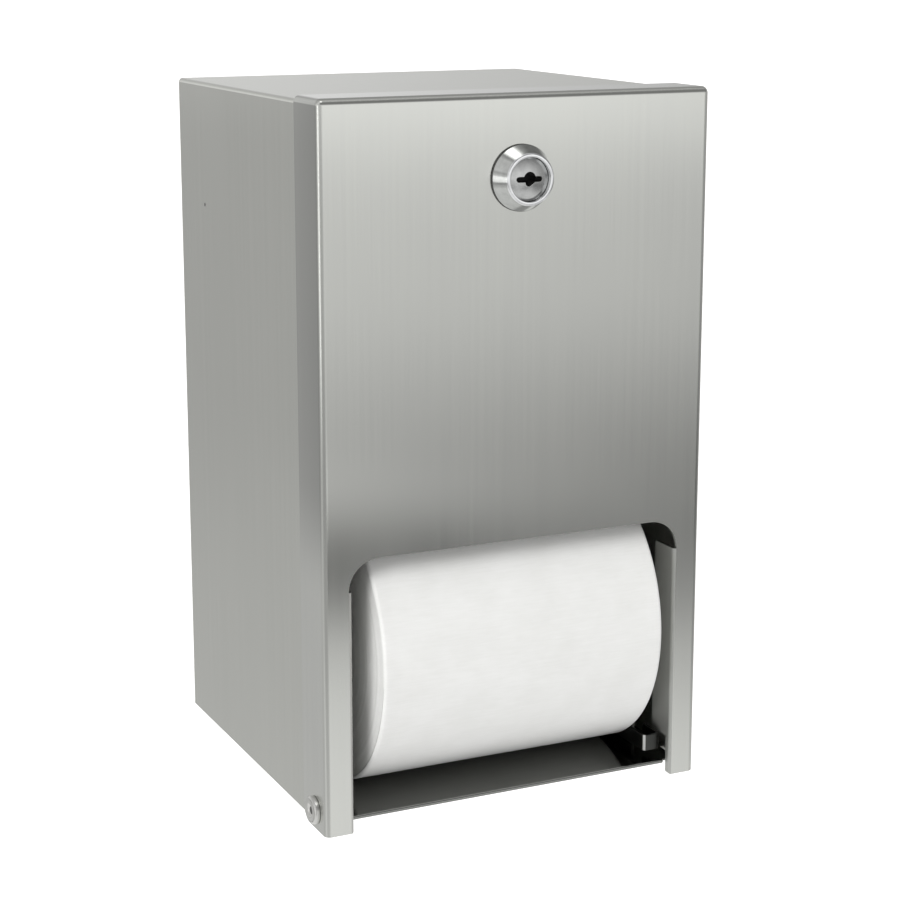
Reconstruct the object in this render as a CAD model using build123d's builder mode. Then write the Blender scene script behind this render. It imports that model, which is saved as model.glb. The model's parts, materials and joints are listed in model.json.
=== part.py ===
from build123d import *
import os

os.makedirs("parts", exist_ok=True)

# Frame: the wall is the plane Y = 0 and the front faces -Y. X runs to the right of someone facing the
# front, Z runs up, and the origin is the centre of the four wall screws. All sizes are in millimetres.

# Outside of the closed dispenser
overall_width = 155.0
overall_height = 266.0
overall_depth = 152.0

# Sheet metal, with the inside radius of its bends
door_sheet = 1.2
door_bend = 1.2
return_bend = 0.2
cabinet_sheet = 0.8
cabinet_bend = 0.8
tray_bend = 0.4
track_sheet = 1.2
track_bend = 0.8
hem_depth = 8.6

# Door pan
door_flange_depth = 21.8
door_side_gap = 0.3
door_front_gap = 0.8
arch_cover = 12.3
arch_radius = 11.7
leg_width = 11.2
leg_drop = 1.4
return_depth = 13.4
return_trim_height = 15.3
return_trim_depth = 2.8
leg_corner = 1.0
flange_corner = 6.0

# Door hinge rivets
pivot_setback = 10.6
pivot_height = 7.2
rivet_shank = 5.0
rivet_head = 10.6
rivet_dome = 2.1
shop_head = 8.0
shop_head_height = 1.9
hinge_washer = 10.0
hinge_washer_height = 0.8
running_gap = 0.05
face_gap = 0.1
corner_clearance = 0.6

# Cabinet floor
floor_height = 5.1
floor_setback = 3.4
leg_clearance = 0.6

# Wall screws
wall_screw_hole = 5.5
wall_screw_width = 100.0
wall_screw_height = 180.0

# Lock
lock_drop = 30.0
bezel_base = 24.0
bezel_front = 18.4
bezel_lip = 1.0
bezel_length = 7.4
barrel_diameter = 19.0
barrel_length = 17.2
barrel_flats = 16.0
plug_face = 15.6
plug_face_depth = 4.4
plug_face_recess = 0.8
plug_dome = 0.7
plug_diameter = 12.0
plug_gap = 0.08
keyway_length = 10.0
keyway_width = 1.7
keyway_eye = 4.6
keyway_depth = 6.0
nut_flats = 24.0
nut_height = 3.2
tenon_diameter = 8.0
tenon_flats = 6.4
cam_reach = 23.0
cam_width = 13.0
cam_height = 1.6
cam_gap = 0.1
cam_screw_head = 7.0
cam_screw_head_height = 2.4
cam_screw_shank = 3.0
cam_screw_depth = 6.0
cam_washer = 9.0
cam_washer_height = 0.6

# Strike bracket behind the door's top edge
strike_width = 60.0
strike_drop = 12.0
strike_gap = 1.4
strike_flange = 12.0

# Paper rolls, cores and spindles
roll_diameter = 110.0
roll_side_room = 20.0
roll_edge = 1.5
roll_protrusion = 8.2
roll_gap = 3.9
roll_front_room = 9.8
core_inside = 40.0
core_wall = 0.9
rest_gap = 0.3
spindle_play = 4.0
spindle_end_play = 0.2
spindle_cone = 4.0
spindle_shoulder = 22.0
journal_diameter = 9.0
journal_overhang = 1.6

# Track plates that carry the spindles, with the slot's corners measured from the spindle next to each
track_front_room = 24.0
track_side_room = 1.2
track_crown = 4.6
track_slot_play = 0.3
track_mouth_rise = 43.4
track_shelf_rise = 23.0
track_shelf_run = 4.0
track_knee_rise = 41.3
track_knee_run = 7.2
track_foot_drop = 31.7
track_foot_run = 11.8
track_slot_bend = 9.0
track_corner = 5.0
track_floor_gap = 0.9
track_rivet_shank = 3.2
track_rivet_head = 6.6
track_rivet_dome = 1.6
track_rivet_pitch = 80.0

# Release arms that hold up the reserve roll
arm_sheet = 1.2
arm_roll_gap = 0.8
arm_track_gap = 3.9
arm_pivot_run = 26.0
arm_pivot_rise = 8.9
arm_boss = 14.0
arm_upright_width = 11.0
arm_ledge_depth = 7.0
arm_ledge_nose = 3.0
arm_ledge_length = 27.0
tab_setback = 6.0
tab_floor_gap = 3.7
tab_height = 6.4
tab_return = 12.0
tab_gap = 0.3
shaft_diameter = 6.0
shaft_overhang = 1.9
clip_diameter = 10.0
clip_groove = 5.0
clip_height = 0.8
clip_opening = 4.0
bush_diameter = 9.0
bush_collar = 12.0
bush_overhang = 1.0
stop_pin_diameter = 4.0
stop_pin_rise = 106.0
stop_pin_head = 6.0
stop_pin_head_height = 0.8

# Levels and planes that follow from the sizes above
base = -overall_height / 2
door_front = -overall_depth
door_half = overall_width / 2
door_back = door_front + door_flange_depth
door_corner = door_bend + door_sheet
return_corner = return_bend + door_sheet
cabinet_half = door_half - door_sheet - door_side_gap
cabinet_inner = cabinet_half - cabinet_sheet
cabinet_top = base + overall_height - door_sheet - door_side_gap
cabinet_ceiling = cabinet_top - cabinet_sheet
cabinet_front = door_front + door_sheet + door_front_gap
floor_top = base + floor_height
floor_front = door_front + floor_setback
leg_inner = door_half - leg_width
pivot_y = door_front + pivot_setback
pivot_z = base + pivot_height
washer_inner = cabinet_inner - hinge_washer_height
lock_z = base + overall_height - lock_drop
back_face = -cabinet_sheet

# The lower roll stands out through the arch, and the upper one waits behind the door
roll_radius = roll_diameter / 2
roll_width = overall_width - 2 * roll_side_room
core_radius = core_inside / 2 + core_wall
spindle_diameter = core_inside - spindle_play
spindle_length = roll_width - 2 * spindle_end_play
spindle_drop = spindle_play / 2 - rest_gap
journal_radius = journal_diameter / 2
lower_roll_y = door_front + roll_radius - roll_protrusion
lower_roll_z = floor_top + rest_gap + roll_radius
lower_spindle_z = lower_roll_z - spindle_drop
upper_roll_y = door_front + door_sheet + roll_front_room + roll_radius
upper_roll_z = lower_roll_z + roll_diameter + roll_gap
upper_spindle_z = upper_roll_z + spindle_drop
arch_top = lower_roll_z + roll_radius - arch_cover
return_top = arch_top - arch_radius

# Each release arm runs beside a roll, and each track plate beside an arm
arm_inside = roll_width / 2 + arm_roll_gap
arm_outside = arm_inside + arm_sheet
arm_pivot_y = upper_roll_y + arm_pivot_run
arm_pivot_z = floor_top + arm_pivot_rise
track_inside = arm_outside + arm_track_gap
track_outside = track_inside + track_sheet
track_tip = cabinet_inner - track_side_room
track_front = door_front + track_front_room
track_rivet_x = (track_outside + track_tip) / 2
spindle_tip = track_outside + journal_overhang


def folded_sheet(plane, points, thickness, bend, length):
    """A folded sheet: a centre line with rounded corners, given its thickness, then its length."""
    with BuildPart() as folded:
        with BuildSketch(plane):
            with BuildLine():
                FilletPolyline(*points, radius=bend + thickness / 2)
            trace(line_width=thickness)
        extrude(amount=length)
    return folded.part


def dome_radius(width, height):
    """The radius of the sphere that a rivet's domed head or a crowned face is cut from."""
    return ((width / 2) ** 2 + height**2) / (2 * height)


# Cabinet wrap: both sides and the top, folded from one sheet
wrap_line = cabinet_half - cabinet_sheet / 2
wrap_points = [
    (-wrap_line, base + leg_drop),
    (-wrap_line, cabinet_top - cabinet_sheet / 2),
    (wrap_line, cabinet_top - cabinet_sheet / 2),
    (wrap_line, base + leg_drop),
]
with BuildPart() as cabinet_wrap:
    add(folded_sheet(Plane.XZ, wrap_points, cabinet_sheet, cabinet_bend, -cabinet_front))
    # The lower front corners are rounded about the hinge, so that the door's legs swing past them
    with BuildSketch(Plane.YZ.offset(-door_half)):
        with Locations((cabinet_front + pivot_setback / 2, pivot_z - pivot_height / 2)):
            Rectangle(pivot_setback, pivot_height)
        with Locations((pivot_y, pivot_z)):
            Circle(pivot_setback - door_sheet - corner_clearance, mode=Mode.SUBTRACT)
            Rectangle(4 * pivot_setback, 2 * pivot_height, align=(Align.MIN, Align.CENTER), mode=Mode.SUBTRACT)
    extrude(amount=overall_width, mode=Mode.SUBTRACT)
    with Locations(Plane.YZ):
        with Locations((pivot_y, pivot_z)):
            Hole(rivet_shank / 2 + running_gap, depth=overall_width)
cabinet_wrap.part.label = "cabinet_wrap"
export_step(cabinet_wrap.part, "parts/cabinet_wrap.step")

# Cabinet floor: a tray with side flanges turned down, a folded front lip between the door's legs, and a notch
# round each hinge rivet's inner head
floor_line = cabinet_inner - cabinet_sheet / 2
floor_points = [
    (-floor_line, base + leg_drop),
    (-floor_line, floor_top - cabinet_sheet / 2),
    (floor_line, floor_top - cabinet_sheet / 2),
    (floor_line, base + leg_drop),
]
lip_half = leg_inner - leg_clearance
notch_half = washer_inner - shop_head_height - corner_clearance
notch_depth = pivot_setback - floor_setback + hinge_washer / 2 + corner_clearance
with BuildPart() as cabinet_floor:
    add(folded_sheet(Plane.XZ, floor_points, cabinet_sheet, tray_bend, -floor_front - cabinet_sheet))
    with BuildSketch(Plane.YZ.offset(-lip_half)):
        with Locations((floor_front + cabinet_sheet, floor_top - cabinet_sheet)):
            Circle(cabinet_sheet)
            Rectangle(hem_depth, cabinet_sheet, align=(Align.MIN, Align.MAX))
    extrude(amount=2 * lip_half)
    with BuildSketch(Plane.XY.offset(base)):
        with Locations((-cabinet_half, floor_front), (cabinet_half, floor_front)):
            Rectangle(2 * (cabinet_half - notch_half), 2 * notch_depth)
    extrude(amount=floor_height, mode=Mode.SUBTRACT)
cabinet_floor.part.label = "cabinet_floor"
export_step(cabinet_floor.part, "parts/cabinet_floor.step")

# Cabinet back: stands on the floor inside the wrap, with flanges turned forward along both sides
back_height = cabinet_ceiling - floor_top
back_line = cabinet_inner - cabinet_sheet / 2
back_points = [
    (-back_line, -hem_depth),
    (-back_line, -cabinet_sheet / 2),
    (back_line, -cabinet_sheet / 2),
    (back_line, -hem_depth),
]
track_bottom = floor_top + track_floor_gap
track_mouth_z = upper_spindle_z + track_mouth_rise
track_height = track_mouth_z + track_crown - track_bottom
track_middle = track_bottom + track_height / 2
track_rivet_levels = [track_middle - track_rivet_pitch, track_middle, track_middle + track_rivet_pitch]
with BuildPart() as cabinet_back:
    add(folded_sheet(Plane.XY.offset(floor_top), back_points, cabinet_sheet, tray_bend, back_height))
    # Its top corners are rounded to clear the wrap's bends
    with BuildSketch(Plane.XZ):
        with Locations((0, floor_top)):
            Rectangle(2 * cabinet_inner, back_height, align=(Align.CENTER, Align.MIN))
        fillet(vertices().group_by(Axis.Y)[-1], radius=cabinet_bend + running_gap)
    extrude(amount=hem_depth, mode=Mode.INTERSECT)
    with Locations(Plane.XZ):
        with GridLocations(wall_screw_width, wall_screw_height, 2, 2):
            Hole(wall_screw_hole / 2, depth=2 * cabinet_sheet)
        for level in track_rivet_levels:
            with Locations((-track_rivet_x, level), (track_rivet_x, level)):
                Hole(track_rivet_shank / 2, depth=2 * cabinet_sheet)
cabinet_back.part.label = "cabinet_back"
export_step(cabinet_back.part, "parts/cabinet_back.step")

# Strike bracket: an angle under the cabinet's top, which the lock's cam turns up behind
cam_front = door_front + barrel_length + cam_gap
strike_back = cam_front - strike_gap
strike_line_y = strike_back - track_sheet / 2
strike_points = [
    (strike_line_y - strike_flange, cabinet_ceiling - track_sheet / 2),
    (strike_line_y, cabinet_ceiling - track_sheet / 2),
    (strike_line_y, cabinet_ceiling - strike_drop),
]
strike_plane = Plane.YZ.offset(-strike_width / 2)
with BuildPart() as strike_bracket:
    add(folded_sheet(strike_plane, strike_points, track_sheet, track_bend, strike_width))
strike_bracket.part.label = "strike_bracket"
export_step(strike_bracket.part, "parts/strike_bracket.step")

# Door: a pan with side and top flanges, an arch between two legs, and a return flange inside each leg
with BuildPart() as door_pan:
    with BuildSketch(Plane.XZ.offset(-door_back)):
        with Locations((0, base)):
            Rectangle(overall_width, overall_height, align=(Align.CENTER, Align.MIN))
    extrude(amount=door_flange_depth)
    side_edges = door_pan.edges().filter_by(Axis.Z).group_by(Axis.Y)[0]
    top_edges = door_pan.edges().filter_by(Axis.Y).group_by(Axis.Z)[-1]
    brow_edge = door_pan.edges().filter_by(Axis.X).group_by(Axis.Y)[0].sort_by(Axis.Z)[-1]
    fillet([*side_edges, *top_edges, brow_edge], radius=door_corner)
    open_faces = [door_pan.faces().sort_by(Axis.Y)[-1], door_pan.faces().sort_by(Axis.Z)[0]]
    offset(amount=-door_sheet, openings=open_faces)

arch_half = leg_inner + return_corner - running_gap
with BuildPart() as door_shell:
    add(door_pan.part)
    with BuildSketch(Plane.XZ.offset(-door_front - 2 * door_sheet)):
        with Locations((0, base)):
            Rectangle(2 * arch_half, arch_top - base, align=(Align.CENTER, Align.MIN))
        fillet(vertices().group_by(Axis.Y)[-1], radius=arch_radius)
    extrude(amount=4 * door_sheet, mode=Mode.SUBTRACT)
    for side in (-1, 1):
        return_points = [
            (side * (leg_inner + door_sheet / 2), door_front + return_depth),
            (side * (leg_inner + door_sheet / 2), door_front + door_sheet / 2),
            (side * (leg_inner + leg_width / 2), door_front + door_sheet / 2),
        ]
        add(folded_sheet(Plane.XY.offset(base), return_points, door_sheet, return_bend, return_top - base))
    # The returns are cut short near the floor, which leaves room for the cabinet's lip and the rivets
    with BuildSketch(Plane.YZ.offset(-leg_inner - 2 * door_sheet)):
        with Locations((door_front + return_trim_depth, base)):
            Rectangle(return_depth, return_trim_height, align=(Align.MIN, Align.MIN))
    extrude(amount=2 * (leg_inner + 2 * door_sheet), mode=Mode.SUBTRACT)
    # At the bottom, the legs' inner corners and the side flanges' rear corners are rounded
    with BuildSketch(Plane.XZ.offset(-door_front - return_depth)):
        for side in (-1, 1):
            with Locations((side * (leg_inner + leg_corner / 2), base + leg_corner / 2)):
                Rectangle(leg_corner, leg_corner)
            with Locations((side * (leg_inner + leg_corner), base + leg_corner)):
                Circle(leg_corner, mode=Mode.SUBTRACT)
    extrude(amount=return_depth, mode=Mode.SUBTRACT)
    rear_corners = door_shell.edges().filter_by(Axis.X).group_by(Axis.Z)[0].sort_by(Axis.Y)[-2:]
    fillet(rear_corners, radius=flange_corner)
    with Locations(Plane.YZ):
        with Locations((pivot_y, pivot_z)):
            Hole(rivet_shank / 2 + running_gap, depth=overall_width)
    with Locations(Plane.XZ):
        with Locations((0, lock_z)):
            Hole(barrel_diameter / 2 + running_gap, depth=overall_depth)
door_shell.part.label = "door_shell"
export_step(door_shell.part, "parts/door_shell.step")

# Hinge rivets: domed heads outside the door's flanges, upset heads inside the cabinet
with BuildPart() as hinge_rivets:
    with BuildSketch(Plane.XY.offset(pivot_z)):
        with BuildLine():
            seat_x = door_half + face_gap
            dome = RadiusArc(
                (seat_x, pivot_y + rivet_head / 2),
                (seat_x + rivet_dome, pivot_y),
                dome_radius(rivet_head, rivet_dome),
            )
            Polyline(
                dome @ 1,
                (washer_inner - shop_head_height, pivot_y),
                (washer_inner - shop_head_height, pivot_y + shop_head / 2),
                (washer_inner, pivot_y + shop_head / 2),
                (washer_inner, pivot_y + rivet_shank / 2),
                (seat_x, pivot_y + rivet_shank / 2),
                dome @ 0,
            )
        make_face()
    revolve(axis=Axis((0, pivot_y, pivot_z), (1, 0, 0)))
    mirror(about=Plane.YZ)
hinge_rivets.part.label = "hinge_rivets"
export_step(hinge_rivets.part, "parts/hinge_rivets.step")

# Hinge washers, between each rivet's upset head and the cabinet's side
with BuildPart() as hinge_washers:
    with BuildSketch(Plane.YZ.offset(washer_inner)):
        with Locations((pivot_y, pivot_z)):
            Circle(hinge_washer / 2)
            Circle(rivet_shank / 2 + running_gap, mode=Mode.SUBTRACT)
    extrude(amount=hinge_washer_height)
    mirror(about=Plane.YZ)
hinge_washers.part.label = "hinge_washers"
export_step(hinge_washers.part, "parts/hinge_washers.step")

# Lock housing: a conical bezel in front of the door and a barrel with two flats behind it
bezel_y = door_front - bezel_length
barrel_end = door_front + barrel_length
plug_pocket = plug_face_depth + plug_face_recess
lock_axis = Axis((0, 0, lock_z), (0, -1, 0))
with BuildPart() as lock_housing:
    with BuildSketch(Plane.XY.offset(lock_z)):
        with BuildLine():
            Polyline(
                (plug_diameter / 2 + plug_gap, barrel_end),
                (barrel_diameter / 2, barrel_end),
                (barrel_diameter / 2, door_front),
                (bezel_base / 2, door_front),
                (bezel_base / 2, door_front - bezel_lip),
                (bezel_front / 2, bezel_y),
                (plug_face / 2 + plug_gap, bezel_y),
                (plug_face / 2 + plug_gap, bezel_y + plug_pocket),
                (plug_diameter / 2 + plug_gap, bezel_y + plug_pocket),
                close=True,
            )
        make_face()
    revolve(axis=lock_axis)
    with BuildSketch(Plane.XZ.offset(-barrel_end)):
        with Locations((0, lock_z)):
            Rectangle(2 * barrel_diameter, 2 * barrel_diameter)
            Rectangle(barrel_flats, 2 * barrel_diameter, mode=Mode.SUBTRACT)
    extrude(amount=barrel_length - door_sheet - nut_height, mode=Mode.SUBTRACT)
    fillet(lock_housing.faces().sort_by(Axis.Y)[0].edges(), radius=0.35)
lock_housing.part.label = "lock_housing"
export_step(lock_housing.part, "parts/lock_housing.step")

# Lock nut, on the barrel's thread behind the door
with BuildPart() as lock_nut:
    with BuildSketch(Plane.XZ.offset(-door_front - door_sheet)):
        with Locations((0, lock_z)):
            RegularPolygon(nut_flats / 2, 6, major_radius=False)
            Circle(barrel_diameter / 2, mode=Mode.SUBTRACT)
    extrude(amount=-nut_height)
    chamfer(lock_nut.faces().sort_by(Axis.Y)[-1].outer_wire().edges(), length=0.5)
lock_nut.part.label = "lock_nut"
export_step(lock_nut.part, "parts/lock_nut.step")

# Lock plug: a domed face with the keyway, the barrel, and a flatted tenon for the cam
face_y = bezel_y + plug_face_recess
cam_back = cam_front + cam_height
with BuildPart() as lock_plug:
    with BuildSketch(Plane.XY.offset(lock_z)):
        with BuildLine():
            crown = RadiusArc(
                (plug_face / 2, face_y + plug_dome),
                (0, face_y),
                dome_radius(plug_face, plug_dome),
            )
            Polyline(
                crown @ 1,
                (0, cam_back),
                (tenon_diameter / 2, cam_back),
                (tenon_diameter / 2, barrel_end),
                (plug_diameter / 2, barrel_end),
                (plug_diameter / 2, face_y + plug_face_depth - plug_gap),
                (plug_face / 2, face_y + plug_face_depth - plug_gap),
                crown @ 0,
            )
        make_face()
    revolve(axis=lock_axis)
    with BuildSketch(Plane.XZ.offset(-face_y)):
        with Locations((0, lock_z)):
            SlotOverall(keyway_length, keyway_width)
            Circle(keyway_eye / 2)
    extrude(amount=-keyway_depth, mode=Mode.SUBTRACT)
    with BuildSketch(Plane.XZ.offset(-barrel_end)):
        with Locations((0, lock_z)):
            Rectangle(2 * tenon_diameter, 2 * tenon_diameter)
            Rectangle(2 * tenon_diameter, tenon_flats, mode=Mode.SUBTRACT)
    extrude(amount=-cam_height - cam_gap, mode=Mode.SUBTRACT)
    with Locations(Plane.XZ.offset(-cam_back)):
        with Locations((0, lock_z)):
            Hole(cam_screw_shank / 2, depth=cam_screw_depth)
lock_plug.part.label = "lock_plug"
export_step(lock_plug.part, "parts/lock_plug.step")

# Lock cam: points sideways when unlocked, and turns up behind the strike bracket to lock
with BuildPart() as lock_cam:
    with BuildSketch(Plane.XZ.offset(-cam_front)):
        with Locations((0, lock_z)):
            Circle(cam_width / 2)
            Rectangle(cam_reach, cam_width * 0.75, align=(Align.MAX, Align.CENTER))
        fillet(vertices().group_by(Axis.X)[0], radius=cam_width / 6)
        with Locations((0, lock_z)):
            with BuildSketch(mode=Mode.PRIVATE) as tenon_hole:
                Circle(tenon_diameter / 2 + running_gap)
                Rectangle(2 * tenon_diameter, tenon_flats + 2 * running_gap, mode=Mode.INTERSECT)
            add(tenon_hole.sketch, mode=Mode.SUBTRACT)
    extrude(amount=-cam_height)
lock_cam.part.label = "lock_cam"
export_step(lock_cam.part, "parts/lock_cam.step")

# Cam washer and cam screw, at the plug's rear end
with BuildPart() as cam_washer_ring:
    with BuildSketch(Plane.XZ.offset(-cam_back)):
        with Locations((0, lock_z)):
            Circle(cam_washer / 2)
            Circle(cam_screw_shank / 2 + running_gap, mode=Mode.SUBTRACT)
    extrude(amount=-cam_washer_height)
cam_washer_ring.part.label = "cam_washer"
export_step(cam_washer_ring.part, "parts/cam_washer.step")

screw_seat = cam_back + cam_washer_height
with BuildPart() as cam_screw:
    with BuildSketch(Plane.XZ.offset(-screw_seat)):
        with Locations((0, lock_z)):
            Circle(cam_screw_head / 2)
    extrude(amount=-cam_screw_head_height)
    fillet(cam_screw.faces().sort_by(Axis.Y)[-1].edges(), radius=1.0)
    with BuildSketch(Plane.XZ.offset(-screw_seat)):
        with Locations((0, lock_z)):
            Circle(cam_screw_shank / 2)
    extrude(amount=cam_screw_depth)
    with BuildSketch(Plane.XZ.offset(-screw_seat - cam_screw_head_height)):
        with Locations((0, lock_z)):
            Rectangle(cam_screw_head * 0.6, 0.9)
            Rectangle(0.9, cam_screw_head * 0.6)
    extrude(amount=1.2, mode=Mode.SUBTRACT)
cam_screw.part.label = "cam_screw"
export_step(cam_screw.part, "parts/cam_screw.step")

# Track plates: one each side, riveted to the back, with a slot that guides the spindles' journals down
slot_points = [
    (track_front - 2 * journal_diameter, track_mouth_z),
    (upper_roll_y - track_shelf_run, upper_spindle_z + track_shelf_rise),
    (upper_roll_y, upper_spindle_z),
    (lower_roll_y + track_knee_run, lower_spindle_z + track_knee_rise),
    (lower_roll_y, lower_spindle_z),
    (lower_roll_y - track_foot_run, lower_spindle_z - track_foot_drop),
]
track_line = track_inside + track_sheet / 2
track_points = [
    (track_tip, back_face - track_sheet / 2),
    (track_line, back_face - track_sheet / 2),
    (track_line, track_front),
]
# The upright's front edge leans forward to the ledge, and the stop pin stands against it
contact_z = upper_spindle_z - journal_radius - rest_gap
ledge_rise = contact_z - arm_pivot_z
ledge_radius = (ledge_rise**2 + arm_pivot_run**2) ** 0.5
ledge_front = upper_roll_y - journal_radius - arm_ledge_nose
upright_top = upper_roll_y + journal_radius + arm_ledge_nose / 2
upright_foot = arm_pivot_y - arm_upright_width / 2
upright_at_stop = upright_foot + (upright_top - upright_foot) * stop_pin_rise / ledge_rise
stop_pin_y = upright_at_stop - stop_pin_diameter / 2 - rest_gap
stop_pin_z = arm_pivot_z + stop_pin_rise
with BuildPart() as track_plate:
    add(folded_sheet(Plane.XY.offset(track_bottom), track_points, track_sheet, track_bend, track_height))
    with BuildSketch(Plane.YZ.offset(track_inside - track_sheet)):
        with BuildLine():
            slot_line = FilletPolyline(*slot_points, radius=track_slot_bend)
        trace(line_width=journal_diameter + 2 * track_slot_play)
        with Locations(slot_line @ 1):
            Circle(journal_radius + track_slot_play)
    extrude(amount=3 * track_sheet, mode=Mode.SUBTRACT)
    with Locations(Plane.YZ.offset(track_line)):
        with Locations((arm_pivot_y, arm_pivot_z)):
            Hole(bush_diameter / 2, depth=2 * track_sheet)
        with Locations((stop_pin_y, stop_pin_z)):
            Hole(stop_pin_diameter / 2, depth=2 * track_sheet)
    with Locations(Plane.XZ):
        for level in track_rivet_levels:
            with Locations((track_rivet_x, level)):
                Hole(track_rivet_shank / 2, depth=4 * track_sheet)
    top_corner = track_plate.edges().filter_by(Axis.X).group_by(Axis.Z)[-1].sort_by(Axis.Y)[0]
    fillet(top_corner, radius=track_corner)
with BuildPart() as track_plate_right:
    add(track_plate.part)
track_plate_right.part.label = "track_plate_right"
export_step(track_plate_right.part, "parts/track_plate_right.step")
with BuildPart() as track_plate_left:
    add(mirror(track_plate.part, about=Plane.YZ, mode=Mode.PRIVATE))
track_plate_left.part.label = "track_plate_left"
export_step(track_plate_left.part, "parts/track_plate_left.step")

# Track rivets: domed inside, flush with the back so that the cabinet lies flat on the wall
rivet_seat = back_face - track_sheet
with BuildPart() as track_rivets:
    for level in track_rivet_levels:
        with BuildSketch(Plane.XY.offset(level)):
            with BuildLine():
                head = RadiusArc(
                    (track_rivet_x + track_rivet_head / 2, rivet_seat),
                    (track_rivet_x, rivet_seat - track_rivet_dome),
                    dome_radius(track_rivet_head, track_rivet_dome),
                )
                Polyline(
                    head @ 1,
                    (track_rivet_x, 0),
                    (track_rivet_x + track_rivet_shank / 2, 0),
                    (track_rivet_x + track_rivet_shank / 2, rivet_seat),
                    head @ 0,
                )
            make_face()
        revolve(axis=Axis((track_rivet_x, 0, level), (0, 1, 0)))
    mirror(about=Plane.YZ)
track_rivets.part.label = "track_rivets"
export_step(track_rivets.part, "parts/track_rivets.step")

# Stop pins, riveted into the track plates in front of the release arms' uprights
with BuildPart() as stop_pins:
    with BuildSketch(Plane.YZ.offset(arm_inside - rest_gap)):
        with Locations((stop_pin_y, stop_pin_z)):
            Circle(stop_pin_diameter / 2)
    extrude(amount=track_outside - arm_inside + rest_gap)
    with BuildSketch(Plane.YZ.offset(track_outside)):
        with Locations((stop_pin_y, stop_pin_z)):
            Circle(stop_pin_head / 2)
    extrude(amount=stop_pin_head_height)
    mirror(about=Plane.YZ)
stop_pins.part.label = "stop_pins"
export_step(stop_pins.part, "parts/stop_pins.step")

# Release arms: a curved ledge holds up the reserve spindle, and swings back from under it
tab_outer = leg_inner - tab_gap
tab_bottom = floor_top + tab_floor_gap
tab_front = door_front + tab_setback
tab_points = [
    (arm_inside + arm_sheet / 2, tab_front + tab_return),
    (arm_inside + arm_sheet / 2, tab_front + arm_sheet / 2),
    (tab_outer - arm_sheet / 2, tab_front + arm_sheet / 2),
    (tab_outer - arm_sheet / 2, tab_front + tab_return),
]


def arm_outline():
    """The upright, its boss on the shaft and its ledge, concentric with the shaft, in the YZ plane."""
    with BuildSketch(mode=Mode.PRIVATE) as outline:
        with BuildLine():
            Polyline(
                (upright_foot, arm_pivot_z),
                (upright_top, contact_z - arm_ledge_depth / 2),
                (upright_top + arm_upright_width, contact_z - arm_ledge_depth / 2),
                (upright_foot + arm_upright_width, arm_pivot_z),
                close=True,
            )
        make_face()
        with BuildSketch(mode=Mode.PRIVATE) as ledge:
            with Locations((arm_pivot_y, arm_pivot_z)):
                Circle(ledge_radius)
                Circle(ledge_radius - arm_ledge_depth, mode=Mode.SUBTRACT)
            with Locations((ledge_front, contact_z)):
                Rectangle(
                    arm_ledge_length, 4 * arm_ledge_depth, align=(Align.MIN, Align.CENTER), mode=Mode.INTERSECT
                )
        add(ledge.sketch)
        with Locations((arm_pivot_y, arm_pivot_z)):
            Circle(arm_boss / 2)
            Circle(shaft_diameter / 2, mode=Mode.SUBTRACT)
    return outline.sketch


with BuildPart() as release_arm_right:
    with BuildSketch(Plane.YZ.offset(arm_inside)):
        add(arm_outline())
        with BuildSketch(mode=Mode.PRIVATE) as bar:
            with Locations((tab_front + tab_return / 2, tab_bottom)):
                bar_length = arm_pivot_y - tab_front - tab_return / 2
                Rectangle(bar_length, tab_height, align=(Align.MIN, Align.MIN))
            with Locations((arm_pivot_y, arm_pivot_z)):
                Circle(shaft_diameter / 2, mode=Mode.SUBTRACT)
        add(bar.sketch)
    extrude(amount=arm_sheet)
    add(folded_sheet(Plane.XY.offset(tab_bottom), tab_points, arm_sheet, track_bend, tab_height))
release_arm_right.part.label = "release_arm_right"
export_step(release_arm_right.part, "parts/release_arm_right.step")

with BuildPart() as release_arm_left:
    with BuildSketch(Plane.YZ.offset(-arm_outside)):
        add(arm_outline())
    extrude(amount=arm_sheet)
release_arm_left.part.label = "release_arm_left"
export_step(release_arm_left.part, "parts/release_arm_left.step")

# Release shaft: joins both arms and turns in a bush in each track plate
clip_seat = track_outside + bush_overhang
shaft_half = clip_seat + clip_height + shaft_overhang
with BuildPart() as release_shaft:
    with BuildSketch(Plane.YZ.offset(-shaft_half)):
        with Locations((arm_pivot_y, arm_pivot_z)):
            Circle(shaft_diameter / 2)
    extrude(amount=2 * shaft_half)
    for groove_start in (clip_seat, -clip_seat - clip_height):
        with BuildSketch(Plane.YZ.offset(groove_start)):
            with Locations((arm_pivot_y, arm_pivot_z)):
                Circle(shaft_diameter)
                Circle(clip_groove / 2, mode=Mode.SUBTRACT)
        extrude(amount=clip_height, mode=Mode.SUBTRACT)
    chamfer(release_shaft.edges().group_by(Axis.X)[0], length=0.5)
    chamfer(release_shaft.edges().group_by(Axis.X)[-1], length=0.5)
release_shaft.part.label = "release_shaft"
export_step(release_shaft.part, "parts/release_shaft.step")

# Retaining clips, open rings in the shaft's grooves
with BuildPart() as shaft_clips:
    with BuildSketch(Plane.YZ.offset(clip_seat)):
        with Locations((arm_pivot_y, arm_pivot_z)):
            Circle(clip_diameter / 2)
            Circle(clip_groove / 2, mode=Mode.SUBTRACT)
            Rectangle(clip_diameter, clip_opening, align=(Align.MIN, Align.CENTER), mode=Mode.SUBTRACT)
    extrude(amount=clip_height)
    mirror(about=Plane.YZ)
shaft_clips.part.label = "shaft_clips"
export_step(shaft_clips.part, "parts/shaft_clips.step")

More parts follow.
